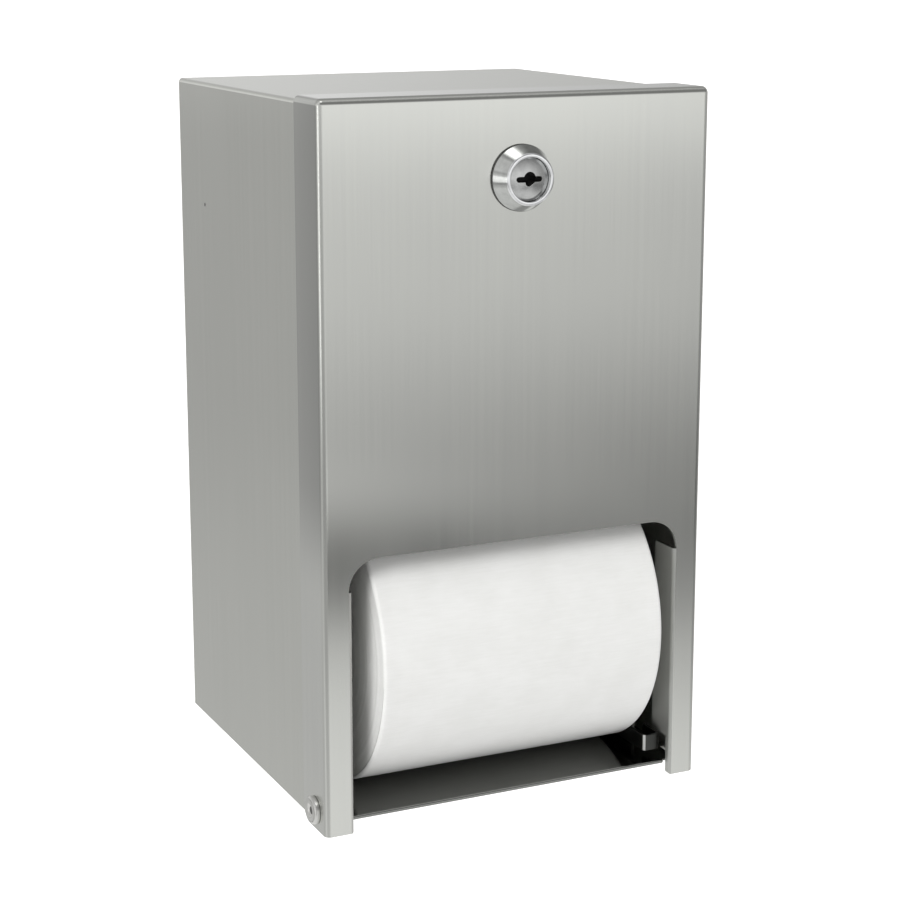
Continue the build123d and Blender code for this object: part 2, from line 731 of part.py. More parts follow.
# Shaft bushes, each with a collar that keeps the arm off the track plate
collar_seat = arm_outside + rest_gap
with BuildPart() as shaft_bushes:
    with BuildSketch(Plane.YZ.offset(collar_seat)):
        with Locations((arm_pivot_y, arm_pivot_z)):
            Circle(bush_collar / 2)
            Circle(shaft_diameter / 2 + running_gap, mode=Mode.SUBTRACT)
    extrude(amount=track_inside - collar_seat)
    with BuildSketch(Plane.YZ.offset(track_inside)):
        with Locations((arm_pivot_y, arm_pivot_z)):
            Circle(bush_diameter / 2)
            Circle(shaft_diameter / 2 + running_gap, mode=Mode.SUBTRACT)
    extrude(amount=clip_seat - running_gap - track_inside)
    mirror(about=Plane.YZ)
shaft_bushes.part.label = "shaft_bushes"
export_step(shaft_bushes.part, "parts/shaft_bushes.step")


def make_spindle(label, y, z):
    """A moulded spindle: a barrel with coned ends, and a journal at each end for the track slots."""
    barrel_half = spindle_length / 2
    with BuildPart() as spindle:
        with BuildSketch(Plane.XY.offset(z)):
            with BuildLine():
                Polyline(
                    (0, y),
                    (spindle_tip, y),
                    (spindle_tip, y + journal_radius - journal_overhang / 2),
                    (spindle_tip - journal_overhang / 2, y + journal_radius),
                    (barrel_half, y + journal_radius),
                    (barrel_half, y + spindle_shoulder / 2),
                    (barrel_half - spindle_cone, y + spindle_diameter / 2),
                    (0, y + spindle_diameter / 2),
                    close=True,
                )
            make_face()
        revolve(axis=Axis((0, y, z), (1, 0, 0)))
        mirror(about=Plane.YZ)
    spindle.part.label = label
    export_step(spindle.part, f"parts/{label}.step")


def make_tube(label, y, z, inside, outside, edge):
    """A plain tube on the X axis, as wide as a roll, for a cardboard core or the paper wound on it."""
    with BuildPart() as tube:
        with BuildSketch(Plane.YZ.offset(-roll_width / 2)):
            with Locations((y, z)):
                Circle(outside)
                Circle(inside, mode=Mode.SUBTRACT)
        extrude(amount=roll_width)
        if edge:
            fillet(tube.edges().filter_by(GeomType.CIRCLE).sort_by(SortBy.RADIUS)[-2:], radius=edge)
    tube.part.label = label
    export_step(tube.part, f"parts/{label}.step")


# Lower roll, in use: it rests on the floor and its spindle lies in it. Upper roll: it hangs on its spindle.
make_spindle("lower_spindle", lower_roll_y, lower_spindle_z)
make_tube("lower_core", lower_roll_y, lower_roll_z, core_inside / 2, core_radius, 0)
make_tube("lower_paper_roll", lower_roll_y, lower_roll_z, core_radius, roll_radius, roll_edge)
make_spindle("upper_spindle", upper_roll_y, upper_spindle_z)
make_tube("upper_core", upper_roll_y, upper_roll_z, core_inside / 2, core_radius, 0)
make_tube("upper_paper_roll", upper_roll_y, upper_roll_z, core_radius, roll_radius, roll_edge)
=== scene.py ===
import json
import math
import random

import bmesh
import bpy
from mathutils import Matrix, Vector, noise

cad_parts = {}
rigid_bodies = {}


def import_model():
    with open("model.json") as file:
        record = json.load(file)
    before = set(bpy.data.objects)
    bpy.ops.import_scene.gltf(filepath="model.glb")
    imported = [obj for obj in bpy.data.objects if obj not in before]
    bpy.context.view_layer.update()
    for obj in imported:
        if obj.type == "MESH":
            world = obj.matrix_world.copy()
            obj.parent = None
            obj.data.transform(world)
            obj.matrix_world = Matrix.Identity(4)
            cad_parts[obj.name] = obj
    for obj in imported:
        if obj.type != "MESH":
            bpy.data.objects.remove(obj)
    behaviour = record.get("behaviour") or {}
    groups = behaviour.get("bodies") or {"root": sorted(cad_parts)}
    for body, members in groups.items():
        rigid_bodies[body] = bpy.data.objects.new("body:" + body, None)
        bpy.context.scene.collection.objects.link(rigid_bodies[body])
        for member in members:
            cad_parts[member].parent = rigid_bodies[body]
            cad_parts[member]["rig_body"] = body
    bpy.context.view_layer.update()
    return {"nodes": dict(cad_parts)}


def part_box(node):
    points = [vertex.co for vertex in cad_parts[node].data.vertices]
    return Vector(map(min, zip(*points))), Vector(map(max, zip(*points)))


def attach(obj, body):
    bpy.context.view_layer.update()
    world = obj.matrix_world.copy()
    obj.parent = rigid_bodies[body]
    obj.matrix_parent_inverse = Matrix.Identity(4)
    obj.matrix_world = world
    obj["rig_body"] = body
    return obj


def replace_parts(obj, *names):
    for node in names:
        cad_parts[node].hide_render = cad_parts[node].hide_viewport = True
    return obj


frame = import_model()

mm = 0.001
nodes = frame["nodes"]
print("stage: the packed frame is in,", len(nodes), "nodes")


# Colours and nodes

def linearFromHex(hexText):  # sRGB hex to the linear colour the shaders take
    parts = [int(hexText[i:i + 2], 16) / 255 for i in (1, 3, 5)]
    return [p / 12.92 if p <= 0.04045 else ((p + 0.055) / 1.055) ** 2.4 for p in parts] + [1.0]


def addNode(tree, kind, settings=None, links=None):  # a shader node with its settings and incoming links
    node = tree.nodes.new("ShaderNode" + kind)
    for key, value in (settings or {}).items():
        if key == "stops":  # colour ramp stops: position and colour
            while len(node.color_ramp.elements) < len(value):
                node.color_ramp.elements.new(1.0)
            for element, (place, colour) in zip(node.color_ramp.elements, value):
                element.position = place
                element.color = colour
        elif isinstance(key, str) and hasattr(node, key):
            setattr(node, key, value)
        else:
            node.inputs[key].default_value = value
    for key, source in (links or {}).items():
        tree.links.new(source, node.inputs[key])
    return node


def fromTo(given, wanted, smooth=False):  # settings of a map range: the given pair comes out as the wanted one
    settings = {1: given[0], 2: given[1], 3: wanted[0], 4: wanted[1]}
    return dict(settings, interpolation_type="SMOOTHSTEP") if smooth else settings


def tones(look):  # settings of a colour ramp: a finish's dark tone to its light one, over its part of the noise
    return {"stops": [
        (look["noise"][0], linearFromHex(look["darkTone"])), (look["noise"][1], linearFromHex(look["lightTone"])),
    ]}


def newMaterial(name):
    material = bpy.data.materials.new(name)
    material.use_nodes = True
    material.node_tree.nodes.clear()
    return material, material.node_tree


def finishMaterial(tree, shader):
    addNode(tree, "OutputMaterial", links={"Surface": shader.outputs["BSDF"]})


# Stainless steel

sheetLook = {
    "flatFrom": 0.75, "side": (0.85, 0.98),  # how far a normal turns to Z or X to count as flat or side
    "shadeHeight": (-0.045, 0.0),  # heights in metres between which the flanges' shade comes in
    "shadeDepth": (-0.130, -0.149), "shareAtBack": 0.7,  # and depths, with the share at the back
    "broadStreaks": 0.17, "broadShare": 0.45, "cloudShare": 0.45, "grainDepth": 0.02,
    "edgeWearAndHighlight": (0.56, 0.64), "insideBelow": -0.01,
}


def brushedStainless(name, look):
    # 304 stainless, belt ground along one direction. The grain blurs reflections across itself and leaves them
    # sharper along it, which the eye reads as satin sheen with soft upright streaks.
    sheet = sheetLook
    material, tree = newMaterial(name)
    place = addNode(tree, "TexCoord")
    face = addNode(tree, "SeparateXYZ", links={0: place.outputs["Normal"]})
    spot = addNode(tree, "SeparateXYZ", links={0: place.outputs["Object"]})
    flat = addNode(tree, "Math", {"operation": "ABSOLUTE"}, {0: face.outputs["Z"]})
    isFlat = addNode(tree, "Math", {"operation": "GREATER_THAN", 1: sheet["flatFrom"]}, {0: flat.outputs[0]})
    across, along = 1 / (look["grainWidth"] * mm), 1 / (look["grainLength"] * mm)
    flatScale = (along, across, across) if look["flatGrain"] == "X" else (across, along, across)
    upright = addNode(tree, "Mapping", {"Scale": (across, across, along)}, {0: place.outputs["Object"]})
    lying = addNode(tree, "Mapping", {"Scale": flatScale}, {0: place.outputs["Object"]})
    grainPlace = addNode(
        tree, "Mix", {"data_type": "VECTOR"},
        {0: isFlat.outputs[0], 4: upright.outputs[0], 5: lying.outputs[0]},
    )
    grain = addNode(
        tree, "TexNoise", {"Scale": 1.0, "Detail": 3.0, "Roughness": 0.65}, {"Vector": grainPlace.outputs[1]}
    )
    broad = addNode(
        tree, "TexNoise", {"Scale": sheet["broadStreaks"], "Detail": 2.0, "Roughness": 0.5},
        {"Vector": grainPlace.outputs[1]},
    )
    cloud = addNode(
        tree, "TexNoise", {"Scale": 1 / (look["cloudSize"] * mm), "Detail": 3.0},
        {"Vector": place.outputs["Object"]},
    )
    streak = addNode(
        tree, "Mix", {"data_type": "FLOAT", 0: sheet["broadShare"]},
        {2: grain.outputs["Fac"], 3: broad.outputs["Fac"]},
    )
    tone = addNode(
        tree, "Mix", {"data_type": "FLOAT", 0: sheet["cloudShare"]},
        {2: streak.outputs[0], 3: cloud.outputs["Fac"]},
    )
    colour = addNode(tree, "ValToRGB", tones(look), {0: tone.outputs[0]})
    # Painted shade: the folded side flanges are painted a little darker than the sheet beside them, most of all
    # towards the front bend
    side = addNode(tree, "Math", {"operation": "ABSOLUTE"}, {0: face.outputs["X"]})
    isSide = addNode(tree, "MapRange", fromTo(sheet["side"], (0.0, 1.0), smooth=True), {0: side.outputs[0]})
    isHigh = addNode(
        tree, "MapRange", fromTo(sheet["shadeHeight"], (0.0, 1.0), smooth=True), {0: spot.outputs["Z"]}
    )
    towardsBend = addNode(
        tree, "MapRange", fromTo(sheet["shadeDepth"], (sheet["shareAtBack"], 1.0)), {0: spot.outputs["Y"]}
    )
    sideHigh = addNode(tree, "Math", {"operation": "MULTIPLY"}, {0: isSide.outputs[0], 1: isHigh.outputs[0]})
    shaded = addNode(
        tree, "Math", {"operation": "MULTIPLY"}, {0: sideHigh.outputs[0], 1: towardsBend.outputs[0]}
    )
    shade = addNode(
        tree, "MapRange", fromTo((0.0, 1.0), (1.0, look["flangeShade"])), {0: shaded.outputs[0]}
    )
    # Painted shade: faces that lie flat, such as the door's top flange, are painted darker by topShade
    topShade = addNode(
        tree, "MapRange", fromTo((0.0, 1.0), (1.0, look["topShade"])), {0: isFlat.outputs[0]}
    )
    bothShades = addNode(
        tree, "Math", {"operation": "MULTIPLY"}, {0: shade.outputs[0], 1: topShade.outputs[0]}
    )
    toned = addNode(
        tree, "VectorMath", {"operation": "SCALE"}, {0: colour.outputs[0], "Scale": bothShades.outputs[0]}
    ).outputs[0]
    if "edgeWearAndHighlightTone" in look:  # painted highlight, partly bare worn metal, where the sheet is folded or cut
        form = addNode(tree, "NewGeometry")
        edge = addNode(tree, "MapRange", fromTo(sheet["edgeWearAndHighlight"], (0.0, 1.0)), {0: form.outputs["Pointiness"]})
        toned = addNode(
            tree, "Mix", {"data_type": "RGBA", 7: linearFromHex(look["edgeWearAndHighlightTone"])}, {0: edge.outputs[0], 6: toned}
        ).outputs[2]
    outer = addNode(tree, "MapRange", fromTo(look["noise"], look["roughness"]), {0: tone.outputs[0]})
    # Only the outside is ground: the sides' inner faces keep the dull skin of the rolled sheet
    facing = addNode(tree, "Math", {"operation": "MULTIPLY"}, {0: face.outputs["X"], 1: spot.outputs["X"]})
    isInside = addNode(tree, "Math", {"operation": "LESS_THAN", 1: sheet["insideBelow"]}, {0: facing.outputs[0]})
    dulled = addNode(
        tree, "Math", {"operation": "MULTIPLY", 1: look["insideRoughness"]}, {0: isInside.outputs[0]}
    )
    rough = addNode(tree, "Math", {"operation": "ADD"}, {0: outer.outputs[0], 1: dulled.outputs[0]})
    bump = addNode(
        tree, "Bump", {"Strength": look["grainBump"], "Distance": sheet["grainDepth"] * mm},
        {"Height": grain.outputs["Fac"]},
    )
    shader = addNode(
        tree, "BsdfPrincipled",
        {"Metallic": 1.0, "Anisotropic": look["anisotropic"]},
        {"Base Color": toned, "Roughness": rough.outputs[0], "Normal": bump.outputs[0]},
    )
    # Across the grain: level on upright faces, and along one fixed axis where the sheet lies flat
    if look["acrossGrain"] == "folded":
        level = addNode(
            tree, "VectorMath", {"operation": "CROSS_PRODUCT", 1: (0, 0, 1)}, {0: place.outputs["Normal"]}
        )
        lyingWay = addNode(
            tree, "VectorMath", {"operation": "SCALE", 0: (-1, 0, 0)}, {"Scale": flat.outputs[0]}
        )
        way = addNode(
            tree, "VectorMath", {"operation": "ADD"}, {0: level.outputs[0], 1: lyingWay.outputs[0]}
        )
    else:
        way = addNode(tree, "CombineXYZ", dict(enumerate(look["acrossGrain"])))
    tangent = addNode(
        tree, "VectorTransform", {"vector_type": "VECTOR", "convert_from": "OBJECT", "convert_to": "WORLD"},
        {0: way.outputs[0]},
    )
    tree.links.new(tangent.outputs[0], shader.inputs["Tangent"])
    finishMaterial(tree, shader)
    return material


# Real grain lines are about 0.1 mm wide; here 0.4 mm, as the finest that still shows in the picture
doorFinish = {
    "grainWidth": 0.4, "grainLength": 60.0, "flatGrain": "Y", "cloudSize": 70.0, "acrossGrain": "folded",
    "darkTone": "#C8C9C5", "lightTone": "#D1D2CD", "noise": (0.3, 0.7), "roughness": (0.15, 0.18),
    "anisotropic": 0.95, "grainBump": 0.08, "flangeShade": 0.64, "topShade": 0.7, "insideRoughness": 0.2,
}
cabinetFinish = dict(
    doorFinish, darkTone="#C5C6C0", lightTone="#CFD0CA", flatGrain="X", acrossGrain=(0.0, 1.0, 0.0),
    cloudSize=110.0, flangeShade=1.0, topShade=1.0,
)
floorFinish = dict(  # painted shade: a darker grey for the shade inside the cabinet, mirrored almost sharp
    cabinetFinish, darkTone="#8F908D", lightTone="#9A9B98", roughness=(0.08, 0.13), anisotropic=0.0,
    insideRoughness=0.0,
)
innerFinish = dict(  # 2B mill finish: duller, with hardly any direction
    doorFinish, darkTone="#AEAFAD", lightTone="#BDBEBC", roughness=(0.2, 0.28), anisotropic=0.3,
    grainLength=15.0, flangeShade=1.0, topShade=1.0, insideRoughness=0.0,
)
armFinish = dict(  # painted shade, dark for the arms' shade; a painted highlight, partly bare metal, on bends and sheared edges
    innerFinish, darkTone="#434442", lightTone="#50514F", roughness=(0.24, 0.32), edgeWearAndHighlightTone="#DADBD8",
)
hardwareFinish = dict(
    doorFinish, darkTone="#C8C8C4", lightTone="#D8D8D5", roughness=(0.16, 0.24), anisotropic=0.0,
    grainWidth=0.4, grainLength=0.8, flangeShade=1.0, topShade=1.0, insideRoughness=0.0,
)
satinDoor = brushedStainless("satinStainlessDoor", doorFinish)
satinCabinet = brushedStainless("satinStainlessCabinet", cabinetFinish)
shadedFloorSteel = brushedStainless("paintedShadeStainlessFloor", floorFinish)
millStainless = brushedStainless("millFinishStainless", innerFinish)
dulledAndShadedStainless = brushedStainless("dulledAndShadedStainlessWithHighlitEdges", armFinish)
turnedStainless = brushedStainless("turnedStainlessHardware", hardwareFinish)
peenedStainless = brushedStainless("peenedStainlessRivet", dict(hardwareFinish, roughness=(0.28, 0.38)))


# The other finishes. Sizes are in millimetres. The tones are spread over the part of the noise that noise names,
# and the roughness over roughNoise.

def platedMetal(name, look):  # a thin coat whose tone and shine are broken up by a cloudy noise
    material, tree = newMaterial(name)
    place = addNode(tree, "TexCoord")
    tone = addNode(
        tree, "TexNoise", {"Scale": 1 / (look["cloudSize"] * mm), "Detail": look["cloudDetail"]},
        {"Vector": place.outputs["Object"]},
    ).outputs["Fac"]
    if "cellSize" in look:
        cells = addNode(
            tree, "TexVoronoi", {"Scale": 1 / (look["cellSize"] * mm)}, {"Vector": place.outputs["Object"]}
        )
        tone = addNode(
            tree, "Mix", {"data_type": "FLOAT", 0: look["cloudShare"]}, {2: cells.outputs["Color"], 3: tone}
        ).outputs[0]
    colour = addNode(tree, "ValToRGB", tones(look), {0: tone})
    rough = addNode(tree, "MapRange", fromTo(look["roughNoise"], look["roughness"]), {0: tone})
    shader = addNode(
        tree, "BsdfPrincipled", {"Metallic": look["metallic"]},
        {"Base Color": colour.outputs[0], "Roughness": rough.outputs[0]},
    )
    finishMaterial(tree, shader)
    return material


def mottled(name, look):
    # Injection moulded plastic has an even colour, broken by the fine spark texture of its mould. The same fine
    # mottle, nearly black and dull, is used for painted shade in the keyway, the rivets' dimples and at the
    # bezel's foot.
    material, tree = newMaterial(name)
    place = addNode(tree, "TexCoord")
    spark = addNode(
        tree, "TexNoise", {"Scale": 1 / (look["grit"] * mm), "Detail": 3.0, "Roughness": 0.7},
        {"Vector": place.outputs["Object"]},
    )
    flow = addNode(
        tree, "TexNoise", {"Scale": 1 / (look["flowSize"] * mm), "Detail": 2.0},
        {"Vector": place.outputs["Object"]},
    )
    tone = addNode(
        tree, "Mix", {"data_type": "FLOAT", 0: look["flowShare"]},
        {2: spark.outputs["Fac"], 3: flow.outputs["Fac"]},
    )
    colour = addNode(tree, "ValToRGB", tones(look), {0: tone.outputs[0]})
    rough = addNode(tree, "MapRange", fromTo(look["roughNoise"], look["roughness"]), {0: spark.outputs["Fac"]})
    bump = addNode(
        tree, "Bump", {"Strength": look["bump"], "Distance": look["bumpHeight"] * mm},
        {"Height": spark.outputs["Fac"]},
    )
    shader = addNode(
        tree, "BsdfPrincipled", {},
        {"Base Color": colour.outputs[0], "Roughness": rough.outputs[0], "Normal": bump.outputs[0]},
    )
    finishMaterial(tree, shader)
    return material


def coreBoard(name, look):
    # Recycled grey board, wound in a spiral: matt grey brown with fibres along its length
    material, tree = newMaterial(name)
    place = addNode(tree, "TexCoord")
    fibrePlace = addNode(tree, "Mapping", {"Scale": look["fibreScale"]}, {0: place.outputs["Object"]})
    fibre = addNode(tree, "TexNoise", {"Scale": 1.0, "Detail": 4.0}, {"Vector": fibrePlace.outputs[0]})
    colour = addNode(tree, "ValToRGB", tones(look), {0: fibre.outputs["Fac"]})
    bump = addNode(
        tree, "Bump", {"Strength": look["bump"], "Distance": look["bumpHeight"] * mm},
        {"Height": fibre.outputs["Fac"]},
    )
    shader = addNode(
        tree, "BsdfPrincipled", {"Roughness": look["roughness"]},
        {"Base Color": colour.outputs[0], "Normal": bump.outputs[0]},
    )
    finishMaterial(tree, shader)
    return material


def tissuePaper(name, look):
    # Bleached two-ply tissue: a soft matt white. Creping leaves fine ridges along the roll's axis.
    material, tree = newMaterial(name)
    place = addNode(tree, "TexCoord")
    along, across = 1 / (look["crepeLength"] * mm), 1 / (look["crepePitch"] * mm)
    crepePlace = addNode(tree, "Mapping", {"Scale": (along, across, across)}, {0: place.outputs["Object"]})
    crepe = addNode(
        tree, "TexNoise", {"Scale": 1.0, "Detail": 4.0, "Roughness": 0.7}, {"Vector": crepePlace.outputs[0]}
    )
    cloud = addNode(
        tree, "TexNoise", {"Scale": 1 / (look["cloudSize"] * mm), "Detail": 4.0},
        {"Vector": place.outputs["Object"]},
    )
    tone = addNode(
        tree, "Mix", {"data_type": "FLOAT", 0: look["cloudShare"]},
        {2: crepe.outputs["Fac"], 3: cloud.outputs["Fac"]},
    )
    colour = addNode(tree, "ValToRGB", tones(look), {0: tone.outputs[0]})
    bump = addNode(
        tree, "Bump", {"Strength": look["bump"], "Distance": look["bumpHeight"] * mm},
        {"Height": crepe.outputs["Fac"]},
    )
    shader = addNode(
        tree, "BsdfPrincipled",
        {"Roughness": look["roughness"], "Sheen Weight": look["sheen"], "Specular IOR Level": look["specular"]},
        {"Base Color": colour.outputs[0], "Normal": bump.outputs[0]},
    )
    finishMaterial(tree, shader)
    return material


chromeFinish = {  # zinc die casting, polished and chrome plated: mirror bright, with a trace of wear from keys
    "darkTone": "#DADBDC", "lightTone": "#E9EAEB", "noise": (0.35, 0.65), "cloudSize": 3, "cloudDetail": 5.0,
    "roughness": (0.05, 0.12), "roughNoise": (0.35, 0.7), "metallic": 1.0,
}
satinFinish = dict(  # the same, but only brushed before it was plated: a softer, greyer shine
    chromeFinish, darkTone="#B2B3B2", lightTone="#C1C2C1", roughness=(0.16, 0.22),
)
zincFinish = {  # pressed steel, bright zinc plated: bluish grey, with the cloudy spangle that plating leaves
    "darkTone": "#A9AEB4", "lightTone": "#C6CBD0", "noise": (0.3, 0.7), "cloudSize": 6, "cloudDetail": 4.0,
    "cellSize": 2.5, "cloudShare": 0.7, "roughness": (0.24, 0.38), "roughNoise": (0.3, 0.7), "metallic": 1.0,
}
phosphateFinish = {  # spring steel with a black phosphate coat: matt, nearly black, with a fine crystal speckle
    "darkTone": "#1E1F21", "lightTone": "#3A3B3E", "noise": (0.35, 0.7), "cloudSize": 0.5, "cloudDetail": 4.0,
    "roughness": (0.45, 0.65), "roughNoise": (0.3, 0.7), "metallic": 0.6,
}
nylonFinish = {
    "darkTone": "#D6D3C6", "lightTone": "#E4E1D5", "noise": (0.35, 0.65), "grit": 0.8, "flowSize": 25,
    "flowShare": 0.5, "roughness": (0.35, 0.5), "roughNoise": (0.3, 0.7), "bump": 0.5, "bumpHeight": 0.01,
}
absFinish = dict(
    nylonFinish, darkTone="#46484A", lightTone="#55585A", grit=0.5, roughness=(0.4, 0.55), bumpHeight=0.02,
)
keywayShadeFinish = dict(nylonFinish, darkTone="#060606", lightTone="#121211", grit=0.3, roughness=(0.55, 0.75))
creviceShadeFinish = dict(nylonFinish, darkTone="#2B2B2A", lightTone="#4A4A48", grit=0.5, roughness=(0.5, 0.7))
boardFinish = {
    "darkTone": "#8C7960", "lightTone": "#B7A488", "noise": (0.3, 0.7), "fibreScale": (700.0, 2500.0, 2500.0),
    "roughness": 0.9, "bump": 0.6, "bumpHeight": 0.05,
}
tissueFinish = {  # real creping has about 0.2 mm between its ridges; here 0.6 mm, so that a trace of it shows
    "darkTone": "#EDEDEA", "lightTone": "#F6F6F4", "noise": (0.3, 0.65), "crepePitch": 0.6, "crepeLength": 9.0,
    "cloudSize": 14, "cloudShare": 0.5, "roughness": 0.95, "sheen": 0.12, "specular": 0.25,
    "bump": 0.5, "bumpHeight": 0.05,
}
chrome = platedMetal("polishedChromePlate", chromeFinish)
satinChrome = platedMetal("brushedChromePlate", satinFinish)
zinc = platedMetal("brightZincPlate", zincFinish)
springBlack = platedMetal("blackPhosphateSpringSteel", phosphateFinish)
nylonNatural = mottled("mouldedNaturalNylon", nylonFinish)
absGrey = mottled("mouldedGreyAbs", absFinish)
keywayShade = mottled("paintedShadeKeywayBlack", keywayShadeFinish)
paintedCreviceShade = mottled("paintedShadeInCrevices", creviceShadeFinish)
board = coreBoard("spiralWoundCoreBoard", boardFinish)
tissue = tissuePaper("crepedTissuePaper", tissueFinish)
print("stage: materials are made")

nodeFinish = {
    "cabinet_wrap": satinCabinet, "cabinet_floor": shadedFloorSteel, "cabinet_back": satinCabinet,
    "door_shell": satinDoor, "strike_bracket": millStainless,
    "track_plate_left": millStainless, "track_plate_right": millStainless,
    "release_arm_left": dulledAndShadedStainless, "release_arm_right": dulledAndShadedStainless,
    "track_rivets": turnedStainless, "hinge_rivets": peenedStainless, "hinge_washers": turnedStainless,
    "stop_pins": turnedStainless, "release_shaft": turnedStainless,
    "lock_housing": chrome, "lock_plug": satinChrome,
    "lock_nut": zinc, "lock_cam": zinc, "cam_washer": zinc, "cam_screw": zinc,
    "shaft_clips": springBlack, "shaft_bushes": nylonNatural,
    "lower_spindle": absGrey, "upper_spindle": absGrey, "lower_core": board, "upper_core": board,
    "lower_paper_roll": tissue, "upper_paper_roll": tissue,
}
for nodeName, finish in nodeFinish.items():
    for materialSlot in nodes[nodeName].material_slots:
        materialSlot.material = finish


# Pieces

def addPiece(name, mesh, standsFor):  # a new piece on a node's body, with the node's finish
    piece = bpy.data.objects.new(name, mesh)
    bpy.context.scene.collection.objects.link(piece)
    mesh.materials.clear()
    mesh.materials.append(nodeFinish[standsFor])
    for polygon in mesh.polygons:
        polygon.use_smooth = True
    shading = piece.modifiers.new("shading", "WEIGHTED_NORMAL")
    shading.keep_sharp = True
    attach(piece, nodes[standsFor]["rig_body"])
    return piece


def meshFrom(shape, name):
    mesh = bpy.data.meshes.new(name)
    shape.normal_update()
    shape.to_mesh(mesh)
    shape.free()
    return mesh


# Sheet metal and hardware: each copy has its sheared and turned edges rounded, as deburring leaves them
softEdges = {
    "door_shell": ("doorShell", 0.55), "cabinet_wrap": ("cabinetWrap", 0.15),
    "cabinet_floor": ("cabinetFloor", 0.15), "cabinet_back": ("cabinetBack", 0.15),
    "strike_bracket": ("strikeBracket", 0.2),
    "track_plate_left": ("trackPlateLeft", 0.2), "track_plate_right": ("trackPlateRight", 0.2),
    "release_arm_left": ("releaseArmLeft", 0.2), "release_arm_right": ("releaseArmRight", 0.2),
    "lock_cam": ("lockCam", 0.2), "lock_nut": ("lockNut", 0.2),
}
edgeWork = {"merge": 0.002, "flatWithin": 0.4, "sharpFrom": 35.0, "steps": 2}  # millimetres and degrees


def softenCopy(nodeName, pieceName, radius):
    mesh = nodes[nodeName].data.copy()
    for attribute in [a for a in mesh.attributes if a.name in ("custom_normal", "sharp_edge", "sharp_face")]:
        mesh.attributes.remove(attribute)
    shape = bmesh.new()
    shape.from_mesh(mesh)
    bmesh.ops.remove_doubles(shape, verts=shape.verts, dist=edgeWork["merge"] * mm)
    bmesh.ops.dissolve_limit(
        shape, angle_limit=math.radians(edgeWork["flatWithin"]), verts=shape.verts, edges=shape.edges,
        delimit=set(),
    )
    sharp = [
        edge for edge in shape.edges
        if len(edge.link_faces) == 2 and edge.calc_face_angle(0) > math.radians(edgeWork["sharpFrom"])
    ]
    bmesh.ops.bevel(
        shape, geom=sharp, offset=radius * mm, segments=edgeWork["steps"], profile=0.5, affect="EDGES",
        clamp_overlap=True,
    )
    shape.to_mesh(mesh)
    shape.free()
    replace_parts(addPiece(pieceName, mesh, nodeName), nodeName)


for nodeName, (pieceName, radius) in softEdges.items():
    softenCopy(nodeName, pieceName, radius)
print("stage: sheet metal edges are rounded")


# Lathe work: a profile of (distance along the axis, radius) turned about an axis

def joinRings(shape, first, second):  # faces from one ring of points to the next; either can be a single point
    around = max(len(first), len(second))
    for k in range(around):
        n = (k + 1) % around
        if len(first) == 1:
            shape.faces.new((first[0], second[k], second[n]))
        elif len(second) == 1:
            shape.faces.new((first[k], second[0], first[n]))
        else:
            shape.faces.new((first[k], second[k], second[n], first[n]))


def turned(profile, segments, placeAt):
    shape = bmesh.new()
    rings = []
    for along, radius in profile:
        if radius < 1e-9:  # a point on the axis
            rings.append([shape.verts.new(placeAt(along, 0, 0))])
            continue
        rings.append([
            shape.verts.new(placeAt(along, radius * math.cos(turn), radius * math.sin(turn)))
            for turn in (2 * math.pi * k / segments for k in range(segments))
        ])
    for first, second in zip(rings, rings[1:]):
        joinRings(shape, first, second)
    bmesh.ops.recalc_face_normals(shape, faces=shape.faces)
    return shape


def roundedProfile(corners, steps=5):  # corners of (along, radius, rounding) to a smooth profile
    profile = []
    for k, (along, radius, rounding) in enumerate(corners):
        here = Vector((along, radius))
        if rounding == 0 or k in (0, len(corners) - 1):
            profile.append(tuple(here))
            continue
        before, after = Vector(corners[k - 1][:2]), Vector(corners[k + 1][:2])
        start = here + (before - here).normalized() * rounding
        end = here + (after - here).normalized() * rounding
        for step in range(steps + 1):
            t = step / steps
            profile.append(tuple((1 - t) ** 2 * start + 2 * t * (1 - t) * here + t ** 2 * end))
    return profile


# Lock: chrome bezel with a threaded barrel, and the plug with its keyway. Radii and lengths in millimetres
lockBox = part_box("lock_housing")
lockLook = {
    "x": (lockBox[0].x + lockBox[1].x) / 2, "z": (lockBox[0].z + lockBox[1].z) / 2, "doorFace": -152.0,
    "bezelFoot": 11.88, "bezelFront": 9.2, "bezelLength": 7.4, "lip": 1.0, "mouth": 7.88, "pocket": 5.2,
    "footEdge": 0.1, "lipEdge": 0.25, "frontEdge": 0.45, "mouthEdge": 0.3, "pocketEdge": 0.1,
    "barrel": 9.5, "bore": 6.08, "barrelLength": 17.2, "chamfer": 0.6, "flats": 8.0, "flatsFrom": 4.4,
    "threadFrom": 3.2, "threadPitch": 1.0, "threadDepth": 0.45,
    "plugFace": 7.8, "plugRecess": 0.8, "plugDome": 1.0, "plugDepth": 4.3, "plugShank": 6.0,
    "plugEdge": 0.25, "edgeInset": 0.35, "edgeRise": 0.06, "skirt": 1.0, "tenon": 3.2, "tenonLength": 1.6,
    "keyLength": 10.2, "keyWidth": 2.0, "keyDepth": 6.0, "cutterReach": 1.0,
    "keyRounding": 0.22, "keyRoundingSteps": 3, "keyRoundingFrom": 50,
    "eye": 4.7, "eyeAt": (0.1, 0.35), "lobe": 2.7, "lobeAt": (-0.3, -1.15),
    "linerInset": 0.32, "linerOuter": 0.985, "linerInner": 0.93, "linerBack": 0.05, "linerFloor": 0.3,
    "seamRadius": 12.0, "seamHeight": 0.95, "seamWidth": 0.6, "seamBevel": 0.15, "seamShoulder": 0.7,
    "around": 144, "aroundKeyway": 120, "domeRings": 24, "weld": 0.0005,
}


def atLock(along, across, up):  # along is out of the door's face
    return Vector((
        lockLook["x"] + across * mm, (lockLook["doorFace"] - along) * mm, lockLook["z"] + up * mm,
    ))


